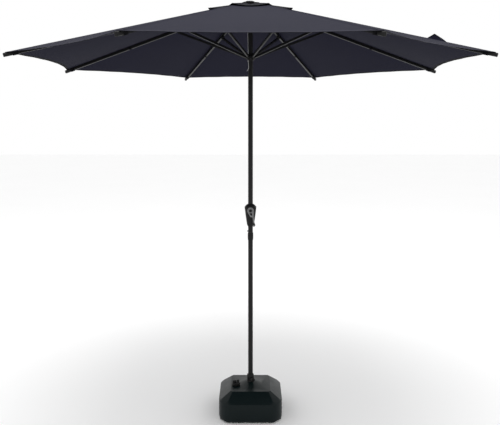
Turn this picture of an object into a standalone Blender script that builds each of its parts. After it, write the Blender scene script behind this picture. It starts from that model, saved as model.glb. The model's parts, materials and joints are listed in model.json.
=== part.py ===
"""A crank-lift patio umbrella standing in a fillable plastic base.

Metres, +Z up, origin at the centre of the base's underside. The crank and the lift cord's tail
face -Y. Ribs, struts, tip caps and canopy panels are numbered anticlockwise seen from above.
"""

from math import atan2, cos, hypot, pi, radians, sin, tan

import bmesh
import bpy
from mathutils import Matrix, Vector

# Driving dimensions
RIBS = 8
FIRST_RIB = pi / RIBS  # direction of rib 1; a gore faces the front
GAP = 0.0003  # between pieces that touch

TIP_RADIUS = 1.42  # to the ends of the tip caps
TIP_Z = 2.185  # rib centre line at the ends of the tip caps
HUB_PIVOT = (0.045, 2.549)  # radius and height of the ribs' hinge pins
RUNNER_PIVOT = (0.028, 2.2305)  # radius and height of the struts' lower pins
STRUT_PLACE = 0.475  # along the rib, from its hinge to the strut's upper pin
STRUT_DROP = 0.018  # of the strut's upper pin below the rib's centre line

RIB_WIDTH, RIB_HEIGHT, RIB_WALL = 0.012, 0.018, 0.0007
STRUT_WIDTH, STRUT_HEIGHT, STRUT_WALL = 0.010, 0.014, 0.0009
RIB_EYE, RIB_PIN = 0.007, 0.0025
STRUT_FOOT_WIDTH, STRUT_FOOT_EYE, STRUT_FOOT_PIN = 0.008, 0.006, 0.002
CAP_LENGTH, CAP_WIDTH, CAP_HEIGHT = 0.055, 0.016, 0.021

FABRIC = 0.0012
FABRIC_LIFT = 0.0118  # of its underside above the ribs' centre lines
FABRIC_TIP = 1.395  # radius of the canopy's corners
FABRIC_BOW = 0.0645  # how far along the slope the hem's middle is pulled in
FABRIC_HOLE = 0.150  # radius of the hole under the vent
VENT_TIP, VENT_TIP_Z, VENT_BOW = 0.270, 2.515, 0.014
VENT_TOP_RADIUS, VENT_TOP_Z, VENT_HOLE = 0.030, 2.5625, 0.0065

POLE_RADIUS, POLE_BORE = 0.015, 0.0136
POLE_SIDES = 24
POLE_TOP, POLE_SPLIT, POLE_BOTTOM = 2.545, 1.138, 0.0120
SPIGOT_RADIUS, SPIGOT_BORE, SPIGOT_BOTTOM, SPIGOT_TOP = 0.0132, 0.0118, 1.020, 1.205
FERRULE_BOTTOM, FERRULE_BULGE = 1.0896, 0.0177
BUTTON_Z, BUTTON_RADIUS = 1.1465, 0.004

AXLE_Z, AXLE_RADIUS = 1.280, 0.004
SPOOL_RADIUS, SPOOL_CORE, SPOOL_LENGTH = 0.0112, 0.0096, 0.0150
HOUSING_WALL = 0.0025
ARM_BACK, ARM_THICK = 0.0370, 0.0045  # the crank arm's distance in front of the pole's axis
GRIP_PLACE = (0.021, -0.084)  # from the axle, in the arm's plane
GRIP_LENGTH, GRIP_RADIUS = 0.046, 0.0085

CORD_RADIUS, TAIL_RADIUS = 0.0015, 0.0017
PULLEY_Z, PULLEY_X, PULLEY_GROOVE, PULLEY_RIM = 2.508, -0.0105, 0.0075, 0.0086
CORD_HOLE = (-0.0140, -0.0140)  # where the cord goes down through the runner

BASE_HALF, SHOULDER_Z, TOP_HALF, TOP_Z = 0.195, 0.118, 0.123, 0.170
TANK_WALL, WELL_RADIUS = 0.004, 0.0230
FILLER = (-0.092, -0.030)
NECK_BORE, NECK_RADIUS, NECK_TOP = 0.0165, 0.0200, 0.178
SOCKET_RADIUS, SOCKET_BORE, SOCKET_TOP = 0.0226, 0.0156, 0.2317
CLAMP_Z, CLAMP_DIRECTION = 0.205, radians(-65)

SLOPE = atan2(HUB_PIVOT[1] - TIP_Z, TIP_RADIUS - HUB_PIVOT[0])
RIB_REACH = hypot(TIP_RADIUS - HUB_PIVOT[0], HUB_PIVOT[1] - TIP_Z)

for old in list(bpy.data.objects):
    bpy.data.objects.remove(old, do_unlink=True)


def finish(name, colour, roughness, metallic=0.0):
    """A plain finish for one kind of piece."""
    material = bpy.data.materials.new(name)
    material.use_nodes = True
    shader = material.node_tree.nodes["Principled BSDF"]
    shader.inputs["Base Color"].default_value = (*colour, 1.0)
    shader.inputs["Roughness"].default_value = roughness
    shader.inputs["Metallic"].default_value = metallic
    return material


CANOPY_CLOTH = finish("canopy_cloth", (0.045, 0.045, 0.075), 0.9)
WEBBING = finish("webbing", (0.01, 0.01, 0.014), 0.9)
POLE_COAT = finish("pole_coat", (0.016, 0.016, 0.017), 0.4, 0.3)
RIB_COAT = finish("rib_coat", (0.022, 0.022, 0.024), 0.35, 0.3)
BLACK_PLASTIC = finish("black_plastic", (0.012, 0.012, 0.013), 0.45)
GREY_PLASTIC = finish("grey_plastic", (0.17, 0.17, 0.17), 0.5)
TANK_PLASTIC = finish("tank_plastic", (0.006, 0.012, 0.013), 0.3)
STEEL = finish("bare_steel", (0.55, 0.55, 0.56), 0.3, 1.0)
RUBBER = finish("seal_rubber", (0.01, 0.01, 0.01), 0.8)
CORD = finish("grey_cord", (0.3, 0.3, 0.3), 0.9)


def mesh_of(shape, name="shape"):
    """A mesh from a bmesh, with its normals facing out."""
    bmesh.ops.recalc_face_normals(shape, faces=shape.faces)
    mesh = bpy.data.meshes.new(name)
    shape.to_mesh(mesh)
    shape.free()
    return mesh


def moved(mesh, matrix):
    mesh.transform(matrix)
    return mesh


def at(x, y, z):
    return Matrix.Translation((x, y, z))


def block(low, high, round_by=0.0):
    """A box between two corners, with its long edges rounded off if asked."""
    shape = bmesh.new()
    size = [b - a for a, b in zip(low, high)]
    middle = [(a + b) / 2 for a, b in zip(low, high)]
    bmesh.ops.create_cube(shape, size=1, matrix=at(*middle) @ Matrix.Diagonal((*size, 1)))
    if round_by:
        bmesh.ops.bevel(shape, geom=shape.edges[:], offset=round_by, segments=1, affect="EDGES")
    return mesh_of(shape)


def rod(radius, start, end, sides=14):
    """A solid cylinder between two points."""
    start, end = Vector(start), Vector(end)
    shape = bmesh.new()
    bmesh.ops.create_cone(
        shape, cap_ends=True, segments=sides, radius1=radius, radius2=radius, depth=(end - start).length
    )
    turn = (end - start).to_track_quat("Z", "Y").to_matrix().to_4x4()
    return moved(mesh_of(shape), at(*(start + end) / 2) @ turn)


def turned(profile, sides=POLE_SIDES):
    """A ring turned about Z from a closed outline of (radius, height) points that is off the axis."""
    shape = bmesh.new()
    points = [shape.verts.new((r, 0, z)) for r, z in profile]
    edges = [shape.edges.new((a, b)) for a, b in zip(points, points[1:] + points[:1])]
    return spun(shape, points + edges, sides)


def spun(shape, outline, sides):
    """The mesh of an outline turned once round Z."""
    bmesh.ops.spin(shape, geom=outline, cent=(0, 0, 0), axis=(0, 0, 1), angle=2 * pi, steps=sides)
    bmesh.ops.remove_doubles(shape, verts=shape.verts, dist=1e-6)
    return mesh_of(shape)


def tube(outer, inner, bottom, top, sides=POLE_SIDES):
    return turned([(inner, bottom), (outer, bottom), (outer, top), (inner, top)], sides)


def plate(outline, low, high):
    """A flat outline of (x, z) points, thick along Y."""
    shape = bmesh.new()
    face = shape.faces.new([shape.verts.new((x, low, z)) for x, z in outline])
    grown = bmesh.ops.extrude_face_region(shape, geom=[face])
    new = [v for v in grown["geom"] if isinstance(v, bmesh.types.BMVert)]
    bmesh.ops.translate(shape, vec=(0, high - low, 0), verts=new)
    return mesh_of(shape)


def lobed(radius, depth, lobes, low, high, sides=6):
    """A hand knob standing along Z, with finger scallops round its rim."""
    count = lobes * sides
    rings = []
    for z in (low, high):
        turn = [2 * pi * n / count for n in range(count)]
        reach = [radius + depth * cos(lobes * a) for a in turn]
        rings.append([(r * cos(a), r * sin(a), z) for r, a in zip(reach, turn)])
    return skinned(rings)


def arc(cx, cz, radius, first, last, steps):
    """Points on a round stretch of an outline, with angles in degrees."""
    turn = [radians(first + (last - first) * n / steps) for n in range(steps + 1)]
    return [(cx + radius * cos(a), cz + radius * sin(a)) for a in turn]


def skinned(rings):
    """A closed shape through rings of equally many points, capped at both ends."""
    shape = bmesh.new()
    loops = [[shape.verts.new(p) for p in ring] for ring in rings]
    for low, high in zip(loops, loops[1:]):
        for n, corner in enumerate(low):
            shape.faces.new((corner, low[n - 1], high[n - 1], high[n]))
    shape.faces.new(loops[0])
    shape.faces.new(loops[-1])
    return mesh_of(shape)


def temporary(mesh):
    obj = bpy.data.objects.new("temporary", mesh)
    bpy.context.scene.collection.objects.link(obj)
    return obj


def made_of(body, join=(), cut=()):
    """One mesh: the body with some shapes joined to it and others cut away."""
    whole = temporary(body)
    helpers = []
    for operation, meshes in (("UNION", join), ("DIFFERENCE", cut)):
        for mesh in meshes:
            helpers.append(temporary(mesh))
            step = whole.modifiers.new(operation.lower(), "BOOLEAN")
            step.operation = operation
            step.object = helpers[-1]
    graph = bpy.context.evaluated_depsgraph_get()
    result = bpy.data.meshes.new_from_object(whole.evaluated_get(graph))
    for obj in [whole] + helpers:
        bpy.data.objects.remove(obj, do_unlink=True)
    return result


def place(name, mesh, material, parent=None):
    """A named piece whose mesh is in its parent's frame, or in the world's."""
    mesh.materials.clear()
    mesh.materials.append(material)
    mesh.shade_smooth()
    mesh.set_sharp_from_angle(angle=radians(35))
    obj = bpy.data.objects.new(name, mesh)
    bpy.context.scene.collection.objects.link(obj)
    obj.parent = parent
    return obj


def pivot(name, where, turn=(0, 0, 0), parent=None):
    """An empty on a joint's axis."""
    empty = bpy.data.objects.new(name, None)
    empty.empty_display_size = 0.02
    empty.location = where
    empty.rotation_euler = turn
    empty.parent = parent
    bpy.context.scene.collection.objects.link(empty)
    return empty


def strand(name, points, radius, sides_level, material, parent=None):
    """A cord as a round curve through some points, with its ends closed."""
    curve = bpy.data.curves.new(name, "CURVE")
    curve.dimensions = "3D"
    curve.bevel_depth = radius
    curve.bevel_resolution = sides_level
    curve.use_fill_caps = True
    spline = curve.splines.new("POLY")
    spline.points.add(len(points) - 1)
    for point, where in zip(spline.points, points):
        point.co = (*where, 1)
    curve.materials.append(material)
    obj = bpy.data.objects.new(name, curve)
    bpy.context.scene.collection.objects.link(obj)
    obj.parent = parent
    return obj


def square_ring(half, corner, z, steps=3):
    """A square with rounded corners, as a ring of points at one height."""
    ring = []
    for quarter in range(4):
        for x, y in arc(half - corner, half - corner, corner, 0, 90, steps):
            turn = quarter * pi / 2
            ring.append((x * cos(turn) - y * sin(turn), x * sin(turn) + y * cos(turn), z))
    return ring


def base_tank():
    """A blow-moulded tank: outer skin, inner space, a well for the socket and a filler neck."""

    def skin(inset, floor, roof):
        return skinned(
            [
                square_ring(BASE_HALF - 0.030 - inset, 0.040, floor),
                square_ring(BASE_HALF - 0.009 - inset, 0.050, floor + 0.010),
                square_ring(BASE_HALF - inset, 0.058, floor + 0.034),
                square_ring(BASE_HALF - 0.002 - inset, 0.062, SHOULDER_Z - inset / 2),
                square_ring(TOP_HALF - inset, 0.018, roof),
            ]
        )

    filler = at(*FILLER, 0)
    low = TOP_Z - 0.003
    hub = turned([(0.010, low), (0.0785, low), (0.0785, TOP_Z), (0.034, 0.178), (0.010, 0.178)])
    neck = moved(tube(NECK_RADIUS, NECK_BORE - 0.003, TOP_Z - 0.003, NECK_TOP), filler)
    space = made_of(
        skin(TANK_WALL, TANK_WALL, TOP_Z - TANK_WALL),
        cut=[rod(WELL_RADIUS + 0.003, (0, 0, -0.1), (0, 0, 0.3), POLE_SIDES)],
    )
    well = rod(WELL_RADIUS, (0, 0, 0.006), (0, 0, 0.3), POLE_SIDES)
    mouth = rod(NECK_BORE, (*FILLER, TOP_Z - 0.010), (*FILLER, 0.2), POLE_SIDES)
    return place("base_tank", made_of(skin(0, 0, TOP_Z), [hub, neck], [space, mouth, well]), TANK_PLASTIC)


def base_fittings():
    """The pole socket, its clamping screw, and the filler's cap and seal."""
    collar = [
        (SOCKET_BORE, 0.0063), (SOCKET_RADIUS, 0.0063), (SOCKET_RADIUS, 0.1784), (0.0305, 0.1784),
        (0.0305, 0.1820), (0.0225, 0.1860), (0.0212, 0.1960), (0.0224, 0.2120), (0.0215, 0.2260),
        (0.0185, SOCKET_TOP), (SOCKET_BORE, SOCKET_TOP),
    ]
    out = Vector((cos(CLAMP_DIRECTION), sin(CLAMP_DIRECTION), 0))
    high = Vector((0, 0, CLAMP_Z))
    hole = rod(AXLE_RADIUS + 0.0005, high, high + out * 0.05)
    place("pole_socket", made_of(turned(collar), cut=[hole]), BLACK_PLASTIC)

    screw = pivot("clamp_screw_axis", high)
    outward = out.to_track_quat("Z", "Y").to_matrix().to_4x4()
    knob = moved(lobed(0.0112, 0.0014, 6, 0.0262, 0.0420), outward)
    place("clamp_knob", made_of(rod(AXLE_RADIUS, out * 0.0158, out * 0.0300), [knob]), BLACK_PLASTIC, screw)

    cap = pivot("filler_cap_axis", (*FILLER, NECK_TOP))
    place("cap_seal", tube(0.0198, 0.0168, GAP, 0.0020, 24), RUBBER, cap)
    shell = rod(0.0250, (0, 0, -0.0060), (0, 0, 0.0110), 24)
    hollow = rod(NECK_RADIUS + 0.0004, (0, 0, -0.1), (0, 0, 0.0023), 24)
    wings = [
        moved(block((-0.0035, -0.0215, 0.0090), (0.0035, 0.0215, 0.0240), 0.0015), Matrix.Rotation(a, 4, "Z"))
        for a in (radians(20), radians(110))
    ]
    place("filler_cap", made_of(shell, wings, [hollow]), BLACK_PLASTIC, cap)


def poles():
    """Both halves of the pole, with what joins them and the button that locks them."""
    button_way = [rod(BUTTON_RADIUS + 0.0005, (0, 0, BUTTON_Z), (-0.03, 0, BUTTON_Z))]
    place("pole_foot", foot_plug(), BLACK_PLASTIC)
    place("lower_pole", tube(POLE_RADIUS, POLE_BORE, POLE_BOTTOM, POLE_SPLIT - 0.0005), POLE_COAT)
    bulge = arc(0, 0, 1, 90, -90, 6)
    middle, half = (FERRULE_BOTTOM + POLE_SPLIT - 0.0005) / 2, (POLE_SPLIT - 0.0005 - FERRULE_BOTTOM) / 2
    edge = POLE_RADIUS + 0.0011
    outside = [(edge + (FERRULE_BULGE - edge) * abs(x), middle + half * z) for x, z in bulge]
    inside = [(POLE_RADIUS + GAP, FERRULE_BOTTOM), (POLE_RADIUS + GAP, POLE_SPLIT - 0.0005)]
    place("joint_ferrule", turned(outside + inside), BLACK_PLASTIC)
    spigot = tube(SPIGOT_RADIUS, SPIGOT_BORE, SPIGOT_BOTTOM, SPIGOT_TOP)
    place("joint_spigot", made_of(spigot, cut=button_way), STEEL)

    press = pivot("button_travel", (-POLE_RADIUS, 0, BUTTON_Z))
    outline = [(0, 0.009), (0.004, 0.009), (0.004, -0.0045), (0.0028, -0.0058), (0, -0.0062)]
    place("snap_button", moved(capped(outline, 14), Matrix.Rotation(pi / 2, 4, "Y")), STEEL, press)

    axle_way = rod(AXLE_RADIUS + 0.0004, (0, -0.03, AXLE_Z), (0, 0.03, AXLE_Z), 16)
    trunnion_way = rod(0.0019, (PULLEY_X, -0.02, PULLEY_Z), (PULLEY_X, 0.02, PULLEY_Z), 12)
    window = block((-0.03, -0.0031, PULLEY_Z - 0.012), (-0.005, 0.0031, PULLEY_Z + 0.012))
    upper = tube(POLE_RADIUS, POLE_BORE, POLE_SPLIT, POLE_TOP)
    place("upper_pole", made_of(upper, cut=button_way + [axle_way, trunnion_way, window]), POLE_COAT)


def foot_plug():
    """The plug that closes the pole's lower end and stands on the floor of the well."""
    head, low = POLE_BORE - 2 * GAP, 0.0063
    shank = POLE_BOTTOM - GAP
    return capped([(0, low), (0.0148, low), (0.0148, shank), (head, shank), (head, 0.030), (0, 0.030)], 24)


def capped(outline, sides):
    """A solid turned about Z from (radius, height) points that start and end on the axis."""
    shape = bmesh.new()
    points = [shape.verts.new((r, 0, z)) for r, z in outline]
    edges = [shape.edges.new(pair) for pair in zip(points, points[1:])]
    return spun(shape, points + edges, sides)


def housing_ring(half_width, half_depth, z, sides=24):
    """A full, soft-cornered oval at one height."""
    ring = []
    for n in range(sides):
        c, s = cos(2 * pi * n / sides), sin(2 * pi * n / sides)
        size = (abs(c) ** 2.6 + abs(s) ** 2.6) ** (-1 / 2.6)
        ring.append((half_width * size * c, half_depth * size * s, z))
    return ring


def winch_housing():
    """The two shells round the winch, held by two screws from behind."""

    def skin(inset, bottom, top):
        rows = [
            (0.0175, 0.0175, bottom), (0.0225, 0.0215, 1.1900), (0.0300, 0.0250, 1.2400),
            (0.0372, 0.0290, 1.2990), (0.0290, 0.0240, 1.3100), (0.0170, 0.0170, top),
        ]
        return skinned([housing_ring(w - inset, d - inset, z) for w, d, z in rows])

    bosses, shanks, heads = [], [], []
    for side in (-1, 1):
        x, z = side * 0.0235, 1.2860
        bosses.append(rod(0.0042, (x, -0.0225, z), (x, 0.0225, z), 12))
        shanks.append(rod(0.0021, (x, -0.0110, z), (x, 0.03, z), 12))
        heads.append(rod(0.0040, (x, 0.0190, z), (x, 0.04, z), 12))
        shank = rod(0.0017, (x, -0.0100, z), (x, 0.0200, z), 10)
        head = rod(0.0034, (x, 0.0193, z), (x, 0.0215, z), 12)
        place("housing_screw_" + ("left" if side < 0 else "right"), made_of(shank, [head]), STEEL)
    hollow = skin(HOUSING_WALL, 1.1810, 1.3150)
    bore = rod(POLE_RADIUS + GAP, (0, 0, 1.0), (0, 0, 1.5), POLE_SIDES)
    axle_way = rod(AXLE_RADIUS + 0.0004, (0, -0.1, AXLE_Z), (0, -0.01, AXLE_Z), 16)
    for name, low, high in (("front", -GAP / 2, 0.1), ("back", -0.1, GAP / 2)):
        other_half = block((-0.1, low, 1.1), (0.1, high, 1.4))
        shell = made_of(
            made_of(skin(0, 1.1784, 1.3184), cut=[hollow]),
            [b.copy() for b in bosses],
            [bore.copy(), axle_way.copy()] + [m.copy() for m in shanks + heads] + [other_half],
        )
        place("housing_" + name, shell, BLACK_PLASTIC)


def winch():
    """The axle with its cord spool, the spring that holds it, and the crank with its turning grip."""
    axle = pivot("axle_axis", (0, 0, AXLE_Z))
    shaft = rod(AXLE_RADIUS, (0, -ARM_BACK - ARM_THICK - 0.0040, 0), (0, 0.0195, 0), 16)
    half = SPOOL_LENGTH / 2
    core = rod(0.0070, (0, -half, 0), (0, half, 0), 20)
    flanges = [rod(SPOOL_RADIUS, (0, s * half, 0), (0, s * (half - 0.0015), 0), 20) for s in (-1, 1)]
    nut = rod(0.0085, (0, -ARM_BACK - ARM_THICK - 0.0060, 0), (0, -ARM_BACK - ARM_THICK - GAP, 0), 20)
    place("crank_axle", made_of(shaft, [core, nut] + flanges), STEEL, axle)

    turns, wire, radius = 3, 0.0008, 0.0062
    steps = turns * 14
    helix = [
        (radius * cos(2 * pi * n / 14), -0.0228 + 0.0060 * n / steps, AXLE_Z + radius * sin(2 * pi * n / 14))
        for n in range(steps + 1)
    ]
    strand("brake_spring", helix, wire, 0, STEEL)

    front, back = -ARM_BACK - ARM_THICK, -ARM_BACK
    gx, gz = GRIP_PLACE
    outline = (
        arc(0, 0, 0.0205, 205, -5, 12) + [(0.0195, -0.038), (0.0235, -0.060)]
        + arc(gx, gz, 0.0060, 15, -165, 6) + [(0.0150, -0.060), (0.0125, -0.0410), (-0.0010, -0.0385)]
    )
    window = [(-0.0080, -0.0150), (0.0095, -0.0150), (0.0095, -0.0290), (0.0030, -0.0310)]
    boss = rod(AXLE_RADIUS + GAP, (0, -0.1, 0), (0, 0.1, 0), 16)
    stud = rod(0.0030, (gx, front + 0.001, gz), (gx, front - GRIP_LENGTH - 0.0012, gz), 12)
    head = rod(0.0045, (gx, front - GRIP_LENGTH - 0.0012, gz), (gx, front - GRIP_LENGTH - 0.0030, gz), 12)
    arm = made_of(plate(outline, front, back), [stud, head], [plate(window, -0.1, 0.1), boss])
    place("crank_arm", arm, GREY_PLASTIC, axle)

    knob = pivot("grip_axis", (gx, front, gz), parent=axle)
    turn = Matrix.Rotation(pi / 2, 4, "X")  # the profile's height runs towards -Y
    profile = [
        (0.0034, 0.0004), (0.0068, 0.0004), (GRIP_RADIUS, 0.0060), (0.0076, 0.0220),
        (GRIP_RADIUS, 0.0380), (0.0060, GRIP_LENGTH), (0.0034, GRIP_LENGTH),
    ]
    place("crank_grip", moved(turned(profile, 20), turn), BLACK_PLASTIC, knob)


def hinge_slots(first_radius, width, low, high):
    """Cutters for the radial slots of the hub or the runner, one on each rib's line."""
    slots = []
    for n in range(RIBS):
        turn = Matrix.Rotation(FIRST_RIB + n * 2 * pi / RIBS, 4, "Z")
        slots.append(moved(block((first_radius, -width / 2, low), (0.1, width / 2, high)), turn))
    return slots


def hub_and_runner():
    """The fixed hub that carries the ribs, and the runner that carries the struts' feet."""
    radius, z = HUB_PIVOT
    body = turned(
        [
            (POLE_RADIUS + GAP, 2.5340), (0.0240, 2.5340), (0.0300, 2.5355), (0.0545, 2.5355),
            (0.0550, 2.5370), (0.0550, 2.5525), (0.0540, 2.5535), (0.0260, 2.5535), (0.0230, 2.5590),
            (0.0054, 2.5590), (0.0054, POLE_TOP + GAP), (POLE_RADIUS + GAP, POLE_TOP + GAP),
        ]
    )
    slotted = made_of(body, cut=hinge_slots(0.0350, 0.0090, 2.5, 2.6))
    pins = []
    for n in range(RIBS):
        turn = Matrix.Rotation(FIRST_RIB + n * 2 * pi / RIBS, 4, "Z")
        pins.append(moved(rod(RIB_PIN, (radius, -0.0065, z), (radius, 0.0065, z), 10), turn))
    place("top_hub", made_of(slotted, pins), BLACK_PLASTIC)

    z = RUNNER_PIVOT[1]
    slide = pivot("runner_travel", (0, 0, z))
    body = turned(
        [
            (POLE_RADIUS + 0.0005, -0.0185), (0.0195, -0.0185), (0.0222, -0.0160), (0.0222, -0.0110),
            (0.0295, -0.0095), (0.0305, -0.0080), (0.0305, 0.0080), (0.0295, 0.0095), (0.0222, 0.0100),
            (0.0222, 0.0190), (0.0205, 0.0210), (POLE_RADIUS + 0.0005, 0.0210),
        ]
    )
    cord_way = rod(CORD_RADIUS + 0.0006, (*CORD_HOLE, -0.1), (*CORD_HOLE, 0.1), 12)
    slots = hinge_slots(0.0216, 2 * 0.0064, -0.0112, 0.1)
    open_below = hinge_slots(0.0216, 2 * 0.0064, -0.1, 0.0)
    place("runner", made_of(body, cut=slots + open_below + [cord_way]), BLACK_PLASTIC, slide)


def top_fittings():
    """The cord's pulley in the pole's window, and the finial that clamps the vent."""
    wheel = pivot("pulley_axis", (PULLEY_X, 0, PULLEY_Z))
    groove = [
        (0.0010, -0.0025), (PULLEY_RIM, -0.0025), (PULLEY_RIM, -0.0019), (PULLEY_GROOVE, -0.0016),
        (PULLEY_GROOVE, 0.0016), (PULLEY_RIM, 0.0019), (PULLEY_RIM, 0.0025), (0.0010, 0.0025),
    ]
    trunnion = rod(0.0015, (0, -0.0100, 0), (0, 0.0100, 0), 12)
    disc = moved(turned(groove, 20), Matrix.Rotation(pi / 2, 4, "X"))
    place("pulley", made_of(disc, [trunnion]), STEEL, wheel)
    profile = [
        (0, 2.5480), (0.0050, 2.5480), (0.0050, 2.5630), (0.0280, 2.5630), (0.0285, 2.5660),
        (0.0260, 2.5710), (0.0180, 2.5745), (0.0090, 2.5758), (0, 2.5760),
    ]
    place("finial", capped(profile, 24), BLACK_PLASTIC)


def rib_mesh():
    """A square tube with a flat tongue at the hub and two cheeks with a pin for the strut."""
    w, h = RIB_WIDTH / 2, RIB_HEIGHT / 2
    end = RIB_REACH - 0.0055
    body = block((0.0270, -w, -h), (end, w, h))
    inside = block((0.0320, -w + RIB_WALL, -h + RIB_WALL), (end + 0.01, w - RIB_WALL, h - RIB_WALL))
    tongue = plate([(0.0300, 0.0062), (0.0300, -0.0062)] + arc(0, 0, RIB_EYE, 300, 60, 10), -0.0040, 0.0040)
    eye = rod(RIB_PIN + 0.0004, (0, -0.01, 0), (0, 0.01, 0), 14)
    a, e = STRUT_PLACE, STRUT_DROP
    ear = [(a - 0.012, 0.002), (a - 0.012, -0.012)] + arc(a, -e, 0.0085, 190, 350, 6)
    ear += [(a + 0.012, -0.012), (a + 0.012, 0.002)]
    cheeks = [plate(ear, s * 0.0054, s * 0.0075) for s in (-1, 1)]
    pin = rod(RIB_PIN, (a, -0.0070, -e), (a, 0.0070, -e), 12)
    return made_of(made_of(body, [tongue], [inside, eye]), cheeks + [pin])


def strut_mesh(length):
    """A folded channel, open below, with an eye for the rib's pin and a pinned foot for the runner."""
    w, h = STRUT_WIDTH / 2, STRUT_HEIGHT / 2
    foot = STRUT_FOOT_WIDTH / 2
    body = plate(arc(0, 0, h, 90, 270, 8) + [(length - 0.014, -h), (length - 0.014, h)], -w, w)
    inside = block((0.0120, -w + STRUT_WALL, -0.02), (length - 0.018, w - STRUT_WALL, h - STRUT_WALL))
    eye = rod(RIB_PIN + 0.0004, (0, -0.01, 0), (0, 0.01, 0), 14)
    r = STRUT_FOOT_EYE
    toe = plate([(length - 0.016, r), (length - 0.016, -r)] + arc(length, 0, r, -90, 90, 8), -foot, foot)
    stubs = rod(STRUT_FOOT_PIN, (length, -0.0060, 0), (length, 0.0060, 0), 10)
    return made_of(made_of(body, cut=[inside, eye]), [toe, stubs])


def tip_cap_mesh():
    """The moulded boot over a rib's end."""
    w, h = CAP_WIDTH / 2, CAP_HEIGHT / 2
    shell = block((RIB_REACH - CAP_LENGTH, -w, -h), (RIB_REACH, w, h), 0.0025)
    a, b = RIB_WIDTH / 2 + GAP, RIB_HEIGHT / 2 + GAP
    return made_of(shell, cut=[block((0, -a, -b), (RIB_REACH - 0.0045, a, b))])


def fabric_point(direction, rho, share):
    """A point of the canopy's underside: share 0 is over the rib, 1 or -1 is halfway to the next rib."""
    on_rib = Vector((rho, 0))
    halfway = Vector((rho * cos(pi / RIBS) ** 2, rho * cos(pi / RIBS) * sin(pi / RIBS)))
    flat = on_rib.lerp(halfway, abs(share))
    y = flat.y if share > 0 else -flat.y
    lift = FABRIC_LIFT / cos(SLOPE)
    z = HUB_PIVOT[1] - (rho - HUB_PIVOT[0]) * tan(SLOPE) + lift
    return Matrix.Rotation(direction, 4, "Z") @ Vector((flat.x, y, z))


def canopy_mesh(direction):
    """The cloth between two neighbouring mid-gore lines, straight from its hole to its curved hem."""
    steps = 5
    rows = []
    for n in range(-steps, steps + 1):
        share = n / steps
        outer = FABRIC_TIP - FABRIC_BOW * (1 - (1 - abs(share)) ** 2)
        row = []
        for rho in (FABRIC_HOLE, outer):
            clear = 0.0002 / (rho * sin(pi / RIBS))
            row.append(fabric_point(direction, rho, max(-1 + clear, min(1 - clear, share))))
        rows.append(row)
    up = Vector((0, 0, FABRIC))
    rings = [[inner, outer, outer + up, inner + up] for inner, outer in rows]
    return skinned(rings)


def vent_mesh():
    """The raised vent: an eight-sided cap of cloth with a clamped top and bowed edges."""
    across = 4
    rings = []
    count = RIBS * across
    half = pi / RIBS
    clamped = [(VENT_HOLE, VENT_TOP_Z, 0), (VENT_TOP_RADIUS, VENT_TOP_Z - 0.0012, 0)]
    for lift in (0, FABRIC):
        rows = []
        for radius, z, bow in clamped + [(VENT_TIP, VENT_TIP_Z, VENT_BOW)]:
            ring = []
            for n in range(count):
                from_rib = (n % across) / across * 2 * half
                off_middle = abs(from_rib - half)
                chord = cos(half) / cos(off_middle)
                pull = bow * (1 - (off_middle / half) ** 2)
                reach = (radius * chord - pull) if bow else radius
                turn = FIRST_RIB + n * 2 * pi / count
                ring.append((reach * cos(turn), reach * sin(turn), z + lift - FABRIC))
            rows.append(ring)
        rings += rows if lift == 0 else rows[::-1]
    shape = bmesh.new()
    loops = [[shape.verts.new(p) for p in ring] for ring in rings]
    for low, high in zip(loops, loops[1:] + loops[:1]):
        for n, corner in enumerate(low):
            shape.faces.new((corner, low[n - 1], high[n - 1], high[n]))
    return mesh_of(shape)


def strut_line():
    """The strut's upper pin, its length and its direction below the horizontal, in a rib's plane."""
    u, n = Vector((cos(SLOPE), -sin(SLOPE))), Vector((-sin(SLOPE), -cos(SLOPE)))
    upper = Vector(HUB_PIVOT) + STRUT_PLACE * u + STRUT_DROP * n
    line = Vector(RUNNER_PIVOT) - upper
    return line.length, atan2(-line.y, -line.x)


def tie_strap(hinge):
    """The strap that ties the closed canopy, left standing in a loop on the last panel."""
    thick, wide = 0.0016, 0.024
    loop = [
        (1.052, 0.0), (1.062, 0.022), (1.078, 0.040), (1.100, 0.046), (1.128, 0.040), (1.155, 0.022),
        (1.172, 0.0),
    ]
    rings = []
    for n, (rho, rise) in enumerate(loop):
        along = Vector(loop[min(n + 1, len(loop) - 1)]) - Vector(loop[max(n - 1, 0)])
        normal = Vector((-along.y, 0, along.x)).normalized() * thick
        foot = fabric_point(0, rho, 0.12) + Vector((0, 0, rise + FABRIC + 0.0006))
        side = Vector((0, wide, 0))
        rings.append([foot, foot + side, foot + side + normal, foot + normal])
    radius, z = HUB_PIVOT
    frame = at(radius, 0, z) @ Matrix.Rotation(SLOPE, 4, "Y")
    place("tie_strap", moved(skinned(rings), frame.inverted()), WEBBING, hinge)


def frame_and_canopy():
    """Each rib's hinge with what swings on it: rib, tip cap, cloth, and the strut on its own hinge."""
    length, dip = strut_line()
    rib, strut, cap = rib_mesh(), strut_mesh(length), tip_cap_mesh()
    for n in range(RIBS):
        direction = FIRST_RIB + n * 2 * pi / RIBS
        radius, z = HUB_PIVOT
        where = Vector((radius * cos(direction), radius * sin(direction), z))
        hinge = pivot(f"rib_hinge_{n + 1}", where, (0, SLOPE, direction))
        place(f"rib_{n + 1}", rib, RIB_COAT, hinge)
        place(f"tip_cap_{n + 1}", cap, BLACK_PLASTIC, hinge)
        frame = at(*where) @ Matrix.Rotation(direction, 4, "Z") @ Matrix.Rotation(SLOPE, 4, "Y")
        place(f"canopy_{n + 1}", moved(canopy_mesh(direction), frame.inverted()), CANOPY_CLOTH, hinge)
        # the strut's frame has +X from its upper pin to its foot
        lean = pi - dip - SLOPE
        lower = pivot(f"strut_hinge_{n + 1}", (STRUT_PLACE, 0, -STRUT_DROP), (0, lean, 0), hinge)
        place(f"strut_{n + 1}", strut, RIB_COAT, lower)
    tie_strap(hinge)


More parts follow.
